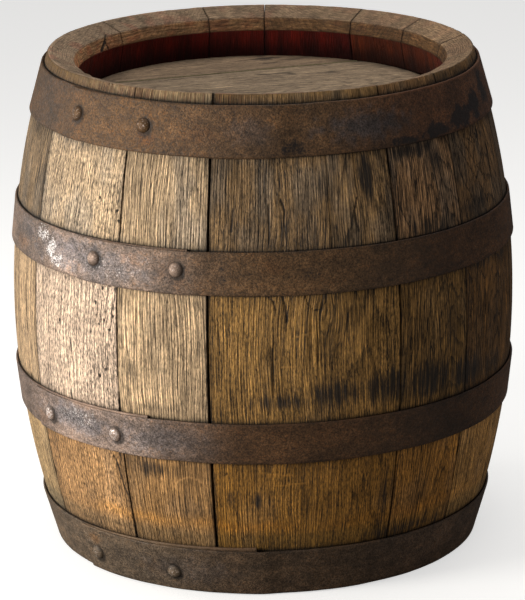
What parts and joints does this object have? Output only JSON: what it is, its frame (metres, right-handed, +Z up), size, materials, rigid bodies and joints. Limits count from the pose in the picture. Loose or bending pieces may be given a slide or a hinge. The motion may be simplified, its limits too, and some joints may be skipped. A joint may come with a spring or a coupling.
{
  "type": "wine barrel",
  "caption": "Squat coopered oak barrel with bulged staves, riveted rusty steel hoops, recessed jointed heads and a tapered side bung.",
  "frame": {"origin": "centre of the ring the barrel stands on, on the ground plane", "axes": "+Z up along the barrel's axis; -Y is the front, +X to the right seen from the front"},
  "size_m": [0.4354, 0.4353, 0.43],
  "materials": {
    "oak_stave": "weathered, streaked golden brown to dark brown",
    "oak_head": "weathered grey-brown",
    "hoop_steel": "dark brown rust patina, pitted",
    "rivet_steel": "dark, worn on the domes",
    "oak_dowel": "clean",
    "dry_rush": "dry, matt",
    "bung_wood": "turned, wine-stained"
  },
  "bodies": {
    "cask": {"bottom_head_board_1": "oak_head", "bottom_head_board_2": "oak_head", "bottom_head_board_3": "oak_head", "bottom_head_board_4": "oak_head", "bottom_head_dowel_1a": "oak_dowel", "bottom_head_dowel_1b": "oak_dowel", "bottom_head_dowel_2a": "oak_dowel", "bottom_head_dowel_2b": "oak_dowel", "bottom_head_dowel_3a": "oak_dowel", "bottom_head_dowel_3b": "oak_dowel", "bottom_head_rush_1": "dry_rush", "bottom_head_rush_2": "dry_rush", "bottom_head_rush_3": "dry_rush", "hoop_bottom_bilge": "hoop_steel", "hoop_bottom_chime": "hoop_steel", "hoop_top_bilge": "hoop_steel", "hoop_top_chime": "hoop_steel", "rivet_bottom_bilge_1": "rivet_steel", "rivet_bottom_bilge_2": "rivet_steel", "rivet_bottom_chime_1": "rivet_steel", "rivet_bottom_chime_2": "rivet_steel", "rivet_top_bilge_1": "rivet_steel", "rivet_top_bilge_2": "rivet_steel", "rivet_top_chime_1": "rivet_steel", "rivet_top_chime_2": "rivet_steel", "stave_01": "oak_stave", "stave_02": "oak_stave", "stave_03": "oak_stave", "stave_04": "oak_stave", "stave_05": "oak_stave", "stave_06": "oak_stave", "stave_07": "oak_stave", "stave_08": "oak_stave", "stave_09": "oak_stave", "stave_10": "oak_stave", "stave_11": "oak_stave", "stave_12": "oak_stave", "stave_13": "oak_stave", "top_head_board_1": "oak_head", "top_head_board_2": "oak_head", "top_head_board_3": "oak_head", "top_head_board_4": "oak_head", "top_head_dowel_1a": "oak_dowel", "top_head_dowel_1b": "oak_dowel", "top_head_dowel_2a": "oak_dowel", "top_head_dowel_2b": "oak_dowel", "top_head_dowel_3a": "oak_dowel", "top_head_dowel_3b": "oak_dowel", "top_head_rush_1": "dry_rush", "top_head_rush_2": "dry_rush", "top_head_rush_3": "dry_rush"},
    "bung": {"bung": "bung_wood"}
  },
  "joints": [
    {"name": "bung_pull", "type": "slide", "parent": "cask", "child": "bung", "axis": [-0.9232, 0.3843, 0], "range_m": [0, 0.06]}
  ]
}
